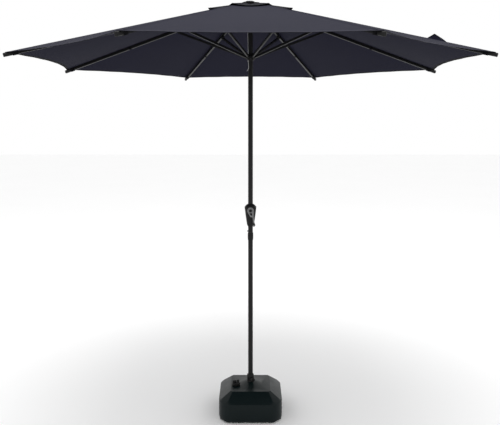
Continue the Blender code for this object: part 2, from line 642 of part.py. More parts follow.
def cords():
    """The lift cord from the spool over the pulley to the runner, its knot, and the free tail."""
    wrap = PULLEY_GROOVE + CORD_RADIUS + GAP
    over = [(x, 0, z) for x, z in arc(PULLEY_X, PULLEY_Z, wrap, 0, 180, 6)]
    spool_side = -SPOOL_CORE - CORD_RADIUS - GAP
    hole_top = RUNNER_PIVOT[1] + 0.0230
    hole_bottom = RUNNER_PIVOT[1] - 0.0200
    route = [(spool_side, 0, AXLE_Z), (spool_side, 0, AXLE_Z + 0.03)] + over
    route += [(*CORD_HOLE, hole_top), (*CORD_HOLE, hole_bottom)]
    strand("lift_cord", route, CORD_RADIUS, 1, CORD)

    knot_z = hole_bottom - 0.0047
    ball = bmesh.new()
    bmesh.ops.create_icosphere(ball, subdivisions=2, radius=0.0044)
    place("cord_knot", moved(mesh_of(ball), at(*CORD_HOLE, knot_z)), CORD)
    strand("cord_tail", tail_points(knot_z - 0.0047), TAIL_RADIUS, 2, CORD)


def tail_points(start_z):
    """The tail's route: straight down out of the knot, then a slow curl to the left and forward."""
    x, y = CORD_HOLE
    stops = [
        (x, y, start_z), (x + 0.0005, y - 0.0010, start_z - 0.008), (x + 0.0020, y - 0.0030, start_z - 0.017),
        (x + 0.0030, y - 0.0045, start_z - 0.027), (x + 0.0020, y - 0.0050, start_z - 0.037),
        (x - 0.0010, y - 0.0045, start_z - 0.046), (x - 0.0050, y - 0.0035, start_z - 0.053),
        (x - 0.0085, y - 0.0025, start_z - 0.057),
    ]
    points = []
    for n in range(len(stops) - 1):
        before, a, b, after = (Vector(stops[min(max(n + k, 0), len(stops) - 1)]) for k in (-1, 0, 1, 2))
        for t in (0, 0.5):
            points.append(
                0.5 * (2 * a + (b - before) * t + (2 * before - 5 * a + 4 * b - after) * t * t
                       + (3 * a - before - 3 * b + after) * t ** 3)
            )
    return points + [Vector(stops[-1])]


base_tank()
base_fittings()
poles()
winch_housing()
winch()
hub_and_runner()
top_fittings()
frame_and_canopy()
place("vent_cap", vent_mesh(), CANOPY_CLOTH)
cords()
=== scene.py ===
"""The looks of a crank-lift patio umbrella in its fillable base, on a pale studio floor.

Metres, +Z up, the crank towards -Y. Each section is one piece, or one group of like pieces.
"""

import json
from math import cos, exp, hypot, pi, radians, sin, tan

import bmesh
import bpy
from mathutils import Matrix, Vector

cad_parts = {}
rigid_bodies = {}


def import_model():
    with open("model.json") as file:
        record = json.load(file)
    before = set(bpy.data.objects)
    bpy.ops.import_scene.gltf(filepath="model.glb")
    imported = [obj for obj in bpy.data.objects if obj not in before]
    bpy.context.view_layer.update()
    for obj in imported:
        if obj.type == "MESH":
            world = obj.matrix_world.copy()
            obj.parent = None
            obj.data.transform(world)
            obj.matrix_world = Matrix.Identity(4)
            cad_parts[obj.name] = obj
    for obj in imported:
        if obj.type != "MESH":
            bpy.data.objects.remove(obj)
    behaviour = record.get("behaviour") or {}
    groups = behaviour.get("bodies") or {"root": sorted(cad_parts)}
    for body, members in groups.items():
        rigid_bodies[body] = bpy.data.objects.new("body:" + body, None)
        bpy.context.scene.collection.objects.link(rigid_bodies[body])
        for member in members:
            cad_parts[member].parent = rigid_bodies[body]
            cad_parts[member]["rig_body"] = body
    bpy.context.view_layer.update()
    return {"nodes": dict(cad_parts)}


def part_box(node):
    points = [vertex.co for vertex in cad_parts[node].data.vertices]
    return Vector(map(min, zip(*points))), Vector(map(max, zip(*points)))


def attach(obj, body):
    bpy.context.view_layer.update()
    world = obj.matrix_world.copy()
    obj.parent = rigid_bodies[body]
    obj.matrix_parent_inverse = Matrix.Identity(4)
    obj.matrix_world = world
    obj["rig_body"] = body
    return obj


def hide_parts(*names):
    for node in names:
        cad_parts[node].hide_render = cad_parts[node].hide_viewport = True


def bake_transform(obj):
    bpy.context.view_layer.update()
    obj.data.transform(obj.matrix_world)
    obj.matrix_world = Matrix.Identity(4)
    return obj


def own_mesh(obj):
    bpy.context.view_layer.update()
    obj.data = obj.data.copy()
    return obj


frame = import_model()

# ---------------------------------------------------------------------------------------------
# Camera: a little under the canopy's rim, looking slightly down, with the frame shifted down so
# that the base shows.
LENS, SENSOR = 43.5024, 36
SHIFT = (-0.001, -0.118)
EYE, PITCH = (0, -3.769, 1.832), radians(87)

camera = bpy.data.objects.new("camera", bpy.data.cameras.new("camera"))
camera.data.sensor_width = SENSOR
camera.data.lens = LENS
camera.data.shift_x, camera.data.shift_y = SHIFT
camera.location = EYE
camera.rotation_euler = (PITCH, 0, 0)
bpy.context.scene.collection.objects.link(camera)
bpy.context.scene.camera = camera
bpy.context.scene.view_settings.view_transform = "Standard"

# ---------------------------------------------------------------------------------------------
# The free tail of the lift cord: 3.4 mm braid that hangs out of the knot under the runner. Its
# end curls a little and is cut bare.
TAIL_RADIUS, TAIL_LENGTH, TAIL_TOP = 0.0017, 0.061, 2.2011
HOLE_X, HOLE_Y = -0.0140, -0.0140
TAIL_STOPS = [
    (0, 0, 0), (0.0005, -0.0010, -0.008), (0.0020, -0.0030, -0.017), (0.0030, -0.0045, -0.027),
    (0.0020, -0.0050, -0.037), (-0.0010, -0.0045, -0.046), (-0.0050, -0.0035, -0.053),
    (-0.0085, -0.0025, -0.057),
]


def smooth_route(stops, between=4):
    """A curve through some stops, with its end stretches as straight as they come."""
    stops = [Vector(stop) for stop in stops]
    route = []
    for n in range(len(stops) - 1):
        before, a, b, after = (stops[min(max(n + k, 0), len(stops) - 1)] for k in (-1, 0, 1, 2))
        for step in range(between):
            t = step / between
            bend = 2 * before - 5 * a + 4 * b - after
            twist = 3 * a - before - 3 * b + after
            route.append(0.5 * (2 * a + (b - before) * t + bend * t**2 + twist * t**3))
    return route + [stops[-1]]


def place(name, mesh, finish, body, smooth=35):
    """Puts a finished mesh in the scene as a piece of one body."""
    piece = bpy.data.objects.new(name, mesh)
    bpy.context.scene.collection.objects.link(piece)
    for one in finish if isinstance(finish, tuple) else (finish,):
        mesh.materials.append(one.material)
    mesh.shade_smooth()
    mesh.set_sharp_from_angle(angle=radians(smooth))
    if body:
        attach(piece, body)
    return piece


def braid_tube(route, radius, sides=12):
    """A closed round tube along a route. Its UV map is in metres: round the cord and along it."""
    shape = bmesh.new()
    uv = shape.loops.layers.uv.new("braid")
    across = Vector((0, 1, 0))
    rings, lengths, done = [], [], 0.0
    for n, point in enumerate(route):
        along = (route[min(n + 1, len(route) - 1)] - route[max(n - 1, 0)]).normalized()
        across = (across - along * across.dot(along)).normalized()
        other = along.cross(across)
        turn = [2 * pi * k / sides for k in range(sides)]
        rings.append([shape.verts.new(point + radius * (cos(a) * across + sin(a) * other)) for a in turn])
        done += (point - route[n - 1]).length if n else 0
        lengths.append(done)
    step = 2 * pi * radius / sides
    for n in range(len(rings) - 1):
        for k in range(sides):
            after = (k + 1) % sides
            face = shape.faces.new((rings[n][k], rings[n][after], rings[n + 1][after], rings[n + 1][k]))
            spots = ((k, n), (k + 1, n), (k + 1, n + 1), (k, n + 1))
            for loop, (a, b) in zip(face.loops, spots):
                loop[uv].uv = (a * step, lengths[b])
    shape.faces.new(rings[0][::-1])
    shape.faces.new(rings[-1])
    bmesh.ops.recalc_face_normals(shape, faces=shape.faces)
    mesh = bpy.data.meshes.new("braid")
    shape.to_mesh(mesh)
    shape.free()
    return mesh


class Wire:
    """The output of a shader node. Arithmetic on it adds Math nodes."""

    def __init__(self, finish, output):
        self.finish, self.output = finish, output

    def math(self, operation, *values):
        return self.finish.node("ShaderNodeMath", {"operation": operation}, dict(enumerate(values)))

    def __add__(self, other):
        return self.math("ADD", self, other)

    def __sub__(self, other):
        return self.math("SUBTRACT", self, other)

    def __rsub__(self, other):
        return self.math("SUBTRACT", other, self)

    def __mul__(self, other):
        return self.math("MULTIPLY", self, other)

    def __mod__(self, other):
        return self.math("FLOORED_MODULO", self, other)

    def __lt__(self, other):
        return self.math("LESS_THAN", self, other)

    def __abs__(self):
        return self.math("ABSOLUTE", self)

    __radd__ = __add__
    __rmul__ = __mul__


class Finish:
    """A procedural material. Values given by name are constants of its shader."""

    def __init__(self, name, **constants):
        self.material = bpy.data.materials.new(name)
        self.material.use_nodes = True
        self.tree = self.material.node_tree
        self.shader = self.tree.nodes["Principled BSDF"]
        for socket, value in constants.items():
            self.put(self.shader.inputs[socket.replace("_", " ")], value)

    def put(self, socket, value):
        if isinstance(value, Wire):
            self.tree.links.new(value.output, socket)
        elif isinstance(value, tuple) and socket.type == "RGBA":
            socket.default_value = (*value, 1)
        else:
            socket.default_value = value

    def node(self, kind, settings=None, inputs=None, output=0):
        made = self.tree.nodes.new(kind)
        for key, value in (settings or {}).items():
            setattr(made, key, value)
        for socket, value in (inputs or {}).items():
            self.put(made.inputs[socket], value)
        return Wire(self, made.outputs[output])

    def sine(self, value):
        return self.node("ShaderNodeMath", {"operation": "SINE"}, {0: value})

    def noise(self, scale, detail=2.0, where=None):
        """Soft random patches, from 0 to 1, with so many of them to a metre."""
        where = where or self.node("ShaderNodeTexCoord", output=3)
        return self.node("ShaderNodeTexNoise", None, {"Vector": where, "Scale": scale, "Detail": detail})

    def uv(self):
        """The two coordinates of the piece's own UV map, in metres."""
        made = self.tree.nodes.new("ShaderNodeSeparateXYZ")
        self.put(made.inputs[0], self.node("ShaderNodeTexCoord", output=2))
        return Wire(self, made.outputs[0]), Wire(self, made.outputs[1])

    def mix(self, share, first, second):
        """A colour between two others."""
        settings = {"data_type": "RGBA"}
        return self.node("ShaderNodeMix", settings, {0: share, 6: first, 7: second}, output=2)

    def surface(self, colour=None, roughness=None, height=None, depth=0.001, strength=1.0):
        """Links what changes over the surface: colour, roughness, and relief so many metres deep."""
        if colour:
            self.put(self.shader.inputs["Base Color"], colour)
        if roughness:
            self.put(self.shader.inputs["Roughness"], roughness)
        if height:
            inputs = {"Strength": strength, "Distance": depth, "Height": height}
            self.put(self.shader.inputs["Normal"], self.node("ShaderNodeBump", None, inputs))
        return self


def braided(name, dark, light):
    """Braided cord: two sets of strands that cross, a little fuzzy and unevenly grey."""
    cord = Finish(name, Roughness=0.9, Sheen_Weight=0.3)
    around, along = cord.uv()
    one = cord.sine((around + along) * 2600)
    other = cord.sine((along - around) * 2600)
    strands = one * other * 0.5 + 0.5
    return cord.surface(cord.mix(strands * 0.7 + cord.noise(350) * 0.3, dark, light), None, strands, 0.0003)


CORD = braided("grey_braid", (0.26, 0.26, 0.265), (0.58, 0.58, 0.59))
tail_route = smooth_route([(HOLE_X + x, HOLE_Y + y, TAIL_TOP + z) for x, y, z in TAIL_STOPS])
tail = place("cord_tail_braid", braid_tube(tail_route, TAIL_RADIUS), CORD, "runner")
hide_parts("cord_tail")

# The knot that stops the cord under the runner: an overhand knot of the same braid.
knot_low, knot_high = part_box("cord_knot")
knot_middle = (knot_low + knot_high) / 2
KNOT_TURN, KNOT_HALF_HEIGHT = 0.0021, 0.0012
knot_route = []
for n in range(49):
    a = 2 * pi * n / 48
    reach = KNOT_TURN * (1 + 0.30 * cos(3 * a))
    height = KNOT_HALF_HEIGHT * sin(3 * a)
    knot_route.append(knot_middle + Vector((reach * cos(2 * a), reach * sin(2 * a), height)))
knot = place("cord_knot_braid", braid_tube(knot_route, TAIL_RADIUS, 10), CORD, "runner")
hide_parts("cord_knot")

# The lift cord: from the spool up inside the pole, over the pulley, out at the window and down to
# the runner. On the real umbrella the outside stretch grows as the runner goes down; here it is one fixed
# piece on no body.
LIFT_RADIUS = 0.0015
PULLEY_X, PULLEY_Z, PULLEY_REACH = -0.0105, 2.508, 0.0093
SPOOL_X, AXLE_Z, RUNNER_Z = -0.0114, 1.280, 2.2305
out_of_window = Vector((PULLEY_X - PULLEY_REACH, 0, PULLEY_Z - 0.008))
inner_route = [Vector((SPOOL_X, 0, AXLE_Z)), Vector((SPOOL_X, 0, AXLE_Z + 0.03))]
for n in range(13):
    a = pi * n / 12
    inner_route.append(Vector((PULLEY_X + PULLEY_REACH * cos(a), 0, PULLEY_Z + PULLEY_REACH * sin(a))))
inner_route.append(out_of_window)
inner = place("lift_cord_inner", braid_tube(inner_route, LIFT_RADIUS, 10), CORD, "pole")
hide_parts("lift_cord")
above_runner = Vector((HOLE_X, HOLE_Y, RUNNER_Z + 0.0230))
below_runner = Vector((HOLE_X, HOLE_Y, RUNNER_Z - 0.0200))
outer_route = [out_of_window.lerp(above_runner, n / 24) for n in range(25)] + [below_runner]
outer = place("lift_cord_outer", braid_tube(outer_route, LIFT_RADIUS, 10), CORD, None)
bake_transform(outer)
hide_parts("lift_cord")

# ---------------------------------------------------------------------------------------------
# The base: a tank blow-moulded in dark blue-green black polyethylene, with chamfered shoulders,
# rounded corners, a raised mound round the pole socket, and the filler's threaded neck.
BASE_HALF, SHOULDER, TOP_HALF, TOP = 0.195, 0.118, 0.123, 0.170
CORNER, CORNER_ROUND, TOP_CORNER, FOOT_ROUND, EDGE_ROUND = 0.050, 0.030, 0.012, 0.026, 0.007
MOUND_FOOT, MOUND_TOP, MOUND_Z = 0.0785, 0.032, 0.187
WELL_RADIUS, WELL_FLOOR = 0.0230, 0.006
FILLER = Vector((-0.092, -0.030, 0))
NECK_OUTSIDE, NECK_BORE, NECK_TOP, MOUTH_DEPTH = 0.0188, 0.0135, 0.178, 0.020
THREAD_FROM, THREAD_TO, THREAD_PITCH, THREAD_SPREAD = 0.1702, 0.1772, 0.00167, 1.055

TANK = Finish("tank_polyethylene", Specular_IOR_Level=0.15)
patches = TANK.noise(9, 3)
TANK.surface(
    TANK.mix(patches, (0.0030, 0.0070, 0.0075), (0.0045, 0.0090, 0.0098)),
    TANK.noise(26, 3) * 0.16 + 0.27,
    TANK.noise(420, 2) * 0.35 + TANK.noise(60, 2) * 0.65, 0.0010, 0.35,
)


def clear_selection():
    if bpy.context.object and bpy.context.object.mode == "EDIT":
        bpy.ops.object.mode_set(mode="OBJECT")
    bpy.ops.object.select_all(action="DESELECT")


def pick(kind, test):
    """Selects the points, edges or faces in edit mode whose middle and direction pass a test."""
    shape = bmesh.from_edit_mesh(bpy.context.object.data)
    bpy.ops.mesh.select_all(action="DESELECT")
    bpy.context.tool_settings.mesh_select_mode = (kind == "verts", kind == "edges", kind == "faces")
    shape.select_mode = {{"verts": "VERT", "edges": "EDGE", "faces": "FACE"}[kind]}
    for item in getattr(shape, kind):
        if kind == "verts":
            item.select_set(bool(test(item.co, item.normal)))
            continue
        middle = sum((v.co for v in item.verts), Vector()) / len(item.verts)
        line = item.normal if kind == "faces" else (item.verts[1].co - item.verts[0].co).normalized()
        item.select_set(bool(test(middle, line)))
    shape.select_flush_mode()
    bmesh.update_edit_mesh(bpy.context.object.data)


def settle(name, finish, body, smooth=35):
    """Applies the active object's place and modifiers, names it, and rides it on its body."""
    clear_selection()
    piece = bpy.context.object
    piece.select_set(True)
    bpy.ops.object.transform_apply(location=True, rotation=True, scale=True)
    for modifier in list(piece.modifiers):
        bpy.ops.object.modifier_apply(modifier=modifier.name)
    piece.name = name
    piece.data.materials.clear()
    piece.data.materials.append(finish.material)
    piece.data.shade_smooth()
    piece.data.set_sharp_from_angle(angle=radians(smooth))
    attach(piece, body)
    return piece


def rounded(width, segments=3, angle=25):
    """Gives the active object rounded edges."""
    bevel = bpy.context.object.modifiers.new("rounded", "BEVEL")
    bevel.width, bevel.segments = width, segments
    bevel.limit_method, bevel.angle_limit = "ANGLE", radians(angle)


def combine(operation, other):
    """Joins another object to the active one, or cuts it away, and removes it."""
    piece = bpy.context.object
    step = piece.modifiers.new("combine", "BOOLEAN")
    step.operation, step.object = operation, other
    bpy.ops.object.modifier_apply(modifier=step.name)
    bpy.data.objects.remove(other)
    bpy.context.view_layer.objects.active = piece


def cylinder(radius, low, high, x=0.0, y=0.0, sides=64, top_radius=None):
    """Adds an upright cylinder or cone and returns it."""
    clear_selection()
    bpy.ops.mesh.primitive_cone_add(
        vertices=sides, radius1=radius, radius2=radius if top_radius is None else top_radius,
        depth=high - low, location=(x, y, (low + high) / 2),
    )
    made = bpy.context.object
    bpy.ops.object.transform_apply(location=True, rotation=True, scale=True)
    return made


clear_selection()
bpy.ops.mesh.primitive_cube_add(size=1, location=(0, 0, SHOULDER / 2))
tank = bpy.context.object
tank.scale = (2 * BASE_HALF, 2 * BASE_HALF, SHOULDER)
bpy.ops.object.transform_apply(location=True, rotation=True, scale=True)
bpy.ops.object.mode_set(mode="EDIT")
pick("edges", lambda middle, line: abs(line.z) > 0.9)
bpy.ops.mesh.bevel(offset=CORNER, segments=1, affect="EDGES")
pick("faces", lambda middle, line: line.z > 0.9)
bpy.ops.mesh.extrude_region_move(TRANSFORM_OT_translate={"value": (0, 0, TOP - SHOULDER)})
bpy.ops.transform.resize(value=(TOP_HALF / BASE_HALF, TOP_HALF / BASE_HALF, 1), center_override=(0, 0, TOP))
spread = (TOP_HALF - TOP_CORNER) / ((BASE_HALF - CORNER) * TOP_HALF / BASE_HALF)
for axis in (0, 1):
    pick("verts", lambda spot, normal: spot.z > TOP - 0.001 and abs(spot[axis]) < TOP_HALF - 0.001)
    bpy.ops.transform.resize(value=(spread if axis == 0 else 1, spread if axis == 1 else 1, 1))
pick("edges", lambda middle, line: middle.z < 0.001)
bpy.ops.mesh.bevel(offset=FOOT_ROUND, segments=6, affect="EDGES")
pick("edges", lambda middle, line: abs(line.z) > 0.9)
bpy.ops.mesh.bevel(offset=CORNER_ROUND, segments=5, affect="EDGES")
bpy.ops.object.mode_set(mode="OBJECT")
mound = cylinder(MOUND_FOOT, TOP - 0.004, MOUND_Z, top_radius=MOUND_TOP)
well = cylinder(WELL_RADIUS, WELL_FLOOR, 0.3)
mouth = cylinder(NECK_BORE, TOP - MOUTH_DEPTH, 0.3, FILLER.x, FILLER.y)
bpy.context.view_layer.objects.active = tank
rounded(EDGE_ROUND, 4, 20)
bpy.ops.object.modifier_apply(modifier="rounded")
combine("UNION", mound)
combine("DIFFERENCE", well)
combine("DIFFERENCE", mouth)
tank = settle("tank_moulding", TANK, "base", 30)
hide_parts("base_tank")

# The filler's neck: a short threaded spout moulded with the tank, which the winged cap covers.


def outside_neck(middle, line):
    return abs(line.z) < 0.1 and hypot(middle.x - FILLER.x, middle.y - FILLER.y) > 0.017


cylinder(NECK_OUTSIDE, TOP - 0.002, NECK_TOP, FILLER.x, FILLER.y)
bpy.ops.object.mode_set(mode="EDIT")
pick("faces", lambda middle, line: line.z > 0.9)
bpy.ops.mesh.inset(thickness=NECK_OUTSIDE - NECK_BORE)
bpy.ops.mesh.extrude_region_move(TRANSFORM_OT_translate={"value": (0, 0, -0.009)})
pick("faces", outside_neck)
bpy.ops.mesh.subdivide(number_cuts=5)
pick("edges", lambda middle, line: (
    outside_neck(middle, line) and THREAD_FROM < middle.z < THREAD_TO
    and round((middle.z - TOP + 0.002) / THREAD_PITCH) % 2
))
bpy.ops.transform.resize(value=(THREAD_SPREAD, THREAD_SPREAD, 1), center_override=(FILLER.x, FILLER.y, 0))
bpy.ops.object.mode_set(mode="OBJECT")
settle("filler_neck", TANK, "base", 40)

# ---------------------------------------------------------------------------------------------
# Black mouldings: glass-filled nylon and polypropylene parts with a fine spark-eroded grain. They
# take the frame's own shapes, with edges rounded as a mould leaves them.
BLACK = Finish("black_moulding", Specular_IOR_Level=0.2)
BLACK.surface(
    BLACK.mix(BLACK.noise(18, 3), (0.0035, 0.0035, 0.0037), (0.0065, 0.0065, 0.0068)),
    BLACK.noise(40, 3) * 0.18 + 0.38,
    BLACK.noise(1500, 1), 0.0002, 0.25,
)


def refined(node, suffix, finish, round_by=0.0, segments=2, smooth=38):
    """A frame piece's own shape as one clean mesh, with its edges rounded and its finish on it."""
    clear_selection()
    source = frame["nodes"][node]
    piece = bpy.data.objects.new(f"{node}_{suffix}", source.data.copy())
    bpy.context.scene.collection.objects.link(piece)
    bpy.context.view_layer.objects.active = piece
    piece.select_set(True)
    bpy.ops.object.mode_set(mode="EDIT")
    bpy.ops.mesh.select_all(action="SELECT")
    bpy.ops.mesh.remove_doubles(threshold=1e-6)
    bpy.ops.mesh.dissolve_limited(angle_limit=radians(0.4))
    bpy.ops.object.mode_set(mode="OBJECT")
    if round_by:
        rounded(round_by, segments, 30)
    piece = settle(f"{node}_{suffix}", finish, source["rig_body"], smooth)
    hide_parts(node)
    return piece


RIBS = 8
for node, round_by in (
    ("pole_socket", 0), ("clamp_knob", 0.0008), ("filler_cap", 0.0008), ("joint_ferrule", 0),
    ("housing_front", 0), ("housing_back", 0), ("crank_grip", 0), ("runner", 0.0006), ("top_hub", 0.0005),
    ("finial", 0), ("pole_foot", 0.0005), ("snap_button", 0.0003),
):
    refined(node, "moulding", BLACK, round_by)
for n in range(1, RIBS + 1):
    refined(f"tip_cap_{n}", "moulding", BLACK, 0.0010)

# The seal in the filler cap: a flat ring of black rubber.
RUBBER = Finish("seal_rubber", Specular_IOR_Level=0.3)
RUBBER.surface(
    RUBBER.mix(RUBBER.noise(60), (0.008, 0.008, 0.008), (0.016, 0.016, 0.016)),
    RUBBER.noise(90) * 0.2 + 0.7, RUBBER.noise(900), 0.0002, 0.4,
)
refined("cap_seal", "rubber", RUBBER, 0.0003)

# ---------------------------------------------------------------------------------------------
# The pole: two steel tubes, 30 mm across, powder coated satin black with a faint orange peel.
COAT = Finish("black_powder_coat", Specular_IOR_Level=0.2)
COAT.surface(
    COAT.mix(COAT.noise(14, 3), (0.0055, 0.0055, 0.0058), (0.0085, 0.0085, 0.0088)),
    COAT.noise(30, 3) * 0.14 + 0.34,
    COAT.noise(700, 2), 0.0003, 0.30,
)
refined("lower_pole", "tube", COAT)
refined("upper_pole", "tube", COAT)

# Ribs and struts: rolled steel tube and folded channel in a coat like it, a shade shinier.
FRAME_COAT = Finish("frame_powder_coat", Specular_IOR_Level=0.15)
FRAME_COAT.surface(
    FRAME_COAT.mix(FRAME_COAT.noise(11, 3), (0.0045, 0.0045, 0.0048), (0.0070, 0.0070, 0.0074)),
    FRAME_COAT.noise(30, 3) * 0.12 + 0.34,
    FRAME_COAT.noise(700, 2), 0.0003, 0.25,
)
for n in range(1, RIBS + 1):
    refined(f"rib_{n}", "tube", FRAME_COAT, 0.0012, 3)
    refined(f"strut_{n}", "channel", FRAME_COAT, 0.0008, 2)

# ---------------------------------------------------------------------------------------------
# Plated steel: the spigot, axle with its spool, brake spring, screws and pulley.
STEEL = Finish("zinc_plate", Metallic=1.0)
turned = STEEL.noise(220, 3)
STEEL.surface(
    STEEL.mix(STEEL.noise(35, 3), (0.42, 0.42, 0.43), (0.60, 0.60, 0.61)),
    turned * 0.25 + 0.22, turned, 0.0002, 0.2,
)
for node in ("joint_spigot", "crank_axle", "brake_spring", "pulley"):
    refined(node, "steel", STEEL)
for side in ("left", "right"):
    refined(f"housing_screw_{side}", "steel", STEEL, 0.0003)

# The crank arm: a V-shaped loop moulded in mid-grey nylon, with its own stud for the grip.
GREY = Finish("grey_nylon", Specular_IOR_Level=0.4)
GREY.surface(
    GREY.mix(GREY.noise(30, 3), (0.150, 0.150, 0.152), (0.190, 0.190, 0.192)),
    GREY.noise(45, 3) * 0.2 + 0.42,
    GREY.noise(1300, 1), 0.0002, 0.3,
)
refined("crank_arm", "nylon", GREY, 0.0009, 2)

# The nut that holds the arm on its axle, under a domed black cap.
NUT_REACH, NUT_RADIUS, NUT_DEPTH = 0.0500, 0.0092, 0.0086
clear_selection()
bpy.ops.mesh.primitive_cylinder_add(
    vertices=40, radius=NUT_RADIUS, depth=NUT_DEPTH,
    location=(0, NUT_DEPTH / 2 - NUT_REACH, AXLE_Z), rotation=(pi / 2, 0, 0),
)
rounded(0.0020, 4)
settle("crank_nut_cap", BLACK, "crank")

# ---------------------------------------------------------------------------------------------
# The canopy: woven polyester, cut as gores that are sewn together over the ribs, hemmed round the
# rim and round the hole under the vent. Each gore is made as two halves that meet in its middle,
# because each half goes with its own rib as the frame folds.
FIRST_RIB, HALF = pi / RIBS, pi / RIBS
HUB_RADIUS, HUB_Z = 0.045, 2.549
SLOPE = radians(14.8276)
CLOTH, CLOTH_LIFT = 0.0010, 0.0119
SEAM, HEM = 0.0070, 0.0200


def woven(name, dark, light, roughness=0.88, thread=0.0011):
    """Plain-weave cloth with two rows of stitches along its seams and hems."""
    cloth = Finish(name, Specular_IOR_Level=0.1)
    across, along = cloth.uv()
    turn = 2 * pi / thread
    weave = cloth.sine(across * turn) * cloth.sine(along * turn) * 0.5 + 0.5
    slubs = cloth.noise(240, 2)
    patches = cloth.noise(5, 4)
    stitch = along % 0.0040 < 0.0028
    hem_stitch = across % 0.0040 < 0.0028
    seam_line = abs(across - 0.0050) < 0.0005
    hem_line = abs(along - 0.0170) < 0.0005
    thread_mask = seam_line * stitch + hem_line * hem_stitch
    tone = weave * 0.25 + slubs * 0.30 + patches * 0.45
    height = weave * 0.35 + thread_mask * 0.8 + slubs * 0.15
    bright = tuple(1.5 * c for c in light)
    colour = cloth.mix(thread_mask * 0.6, cloth.mix(tone, dark, light), bright)
    return cloth.surface(colour, slubs * 0.10 + roughness - 0.05, height, 0.0003, 0.5)


TOP_CLOTH = woven("slate_polyester", (0.0118, 0.0118, 0.0212), (0.0170, 0.0170, 0.0293))
# The inside copy is the same cloth painted darker and bluer: painted shade under the canopy.
SHADED_UNDER_CLOTH = woven("slate_polyester_inside_painted_shade", (0.0050, 0.0050, 0.0135), (0.0080, 0.0080, 0.0200))
HEM_TAPE = woven("hem_tape", (0.0020, 0.0020, 0.0030), (0.0040, 0.0040, 0.0055))
# The vent copy is the same cloth painted near black: painted shade round the crown.
VENT_SHADE_CLOTH = woven("vent_polyester_painted_shade", (0.0040, 0.0040, 0.0070), (0.0070, 0.0070, 0.0110))


def thin_sheet(upper, lower, marks, slots):
    """A closed sheet between two grids of points, with a UV map and a material slot for each face.

    slots(row, column) gives the slots of the upper and the lower face; the edges get the last one.
    """
    shape = bmesh.new()
    uv = shape.loops.layers.uv.new("cut")
    sides = [[[shape.verts.new(point) for point in row] for row in grid] for grid in (upper, lower)]
    last_row, last_column = len(upper) - 1, len(upper[0]) - 1

    def face(spots, slot):
        made = shape.faces.new([sides[side][r][c] for side, r, c in spots])
        made.material_index = slot
        for loop, (_, r, c) in zip(made.loops, spots):
            loop[uv].uv = marks[r][c]

    def rim(first, second):
        face([(0, *first), (0, *second), (1, *second), (1, *first)], slots(*first)[1])

    for r in range(last_row):
        for c in range(last_column):
            corners = [(r, c), (r, c + 1), (r + 1, c + 1), (r + 1, c)]
            face([(0, *corner) for corner in corners], slots(r, c)[0])
            face([(1, *corner) for corner in corners[::-1]], slots(r, c)[1])
        rim((r, 0), (r + 1, 0))
        rim((r, last_column), (r + 1, last_column))
    for c in range(last_column):
        rim((0, c), (0, c + 1))
        rim((last_row, c), (last_row, c + 1))
    bmesh.ops.recalc_face_normals(shape, faces=shape.faces)
    mesh = bpy.data.meshes.new("sheet")
    shape.to_mesh(mesh)
    shape.free()
    return mesh


def panel_half(number, side, inner, tip, bow, height, sag, rows, columns):
    """Half a gore, from its rib's line to the gore's middle, with a doubled hem and seam.

    Its UV map is in metres: across from the rib's line, and along from the outer hem.
    """
    turn = Matrix.Rotation(FIRST_RIB + (number - 1) * 2 * pi / RIBS, 4, "Z")
    hems = [0.0, 0.0008, HEM - 0.0008, HEM]
    steps = [("hem", d) for d in hems] + [("body", n / rows) for n in range(1, rows + 1)]
    upper, lower, marks = [], [], []
    for kind, amount in steps:
        rib_rho = tip - amount * cos(SLOPE) if kind == "hem" else (tip - HEM) + (inner - tip + HEM) * amount
        full = rib_rho * sin(HALF)
        widths = [0.0, SEAM - 0.0008, SEAM]
        widths += [SEAM + (full - SEAM) * n / columns for n in range(1, columns + 1)]
        upper_row, lower_row, mark_row = [], [], []
        for width in widths:
            share = width / full
            rim = tip - bow * (1 - (1 - share) ** 2)
            if kind == "hem":
                rho = rim - amount * cos(SLOPE)
            else:
                rho = (rim - HEM * cos(SLOPE)) + (inner - rim + HEM * cos(SLOPE)) * amount
            x = rho * (1 - share * sin(HALF) ** 2)
            y = side * share * rho * cos(HALF) * sin(HALF)
            outwards = max(0, (rho - inner) / (tip - inner)) ** 1.5
            drop = sag * (1 - (1 - share) ** 2) * (0.45 + 0.55 * outwards)
            along = (rim - rho) / cos(SLOPE)
            pucker = 0.0005 * exp(-width / 0.045) * sin(width * 60 + along * 2 * pi / 0.034 + number)
            edge = 0.0006 * exp(-along / 0.05) * sin(width * 2 * pi / 0.041 + 2 * number)
            edge *= min(1, width / 0.03)
            fade = min(1, 4 * (1 - share)) * (0 if width == 0 else 1)
            z = height(rho) - drop + (pucker + edge) * fade
            thick = CLOTH + (0.0005 if width <= SEAM - 0.0008 else 0)
            thick += 0.0006 if kind == "hem" and amount <= HEM - 0.0008 else 0
            upper_row.append(turn @ Vector((x, y, z + thick)))
            lower_row.append(turn @ Vector((x, y, z)))
            mark_row.append((width, along))
        upper.append(upper_row)
        lower.append(lower_row)
        marks.append(mark_row)
    return thin_sheet(upper, lower, marks, lambda row, column: (0, 2 if row < len(hems) - 1 else 1))


def fold_with_rib(piece):
    """Gives the piece a mesh of its own; the cloth itself is left as it is."""
    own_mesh(piece)


def roof(rho):
    """The height of the main canopy's underside over a rib."""
    return HUB_Z - (rho - HUB_RADIUS) * tan(SLOPE) + CLOTH_LIFT / cos(SLOPE)


CANOPY_HOLE, CANOPY_TIP, CANOPY_BOW, CANOPY_SAG = 0.150, 1.411, 0.0805, 0.0195
# The canopy's faces: top, inside with painted shade, and hem.
CANOPY_FACES = (TOP_CLOTH, SHADED_UNDER_CLOTH, HEM_TAPE)
for number in range(1, RIBS + 1):
    for side, word in ((-1, "right"), (1, "left")):
        mesh = panel_half(number, side, CANOPY_HOLE, CANOPY_TIP, CANOPY_BOW, roof, CANOPY_SAG, 44, 16)
        gore = place(f"gore_{number}_{word}", mesh, CANOPY_FACES, f"rib_{number}", 50)
        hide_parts(f"canopy_{number}")
        fold_with_rib(gore)

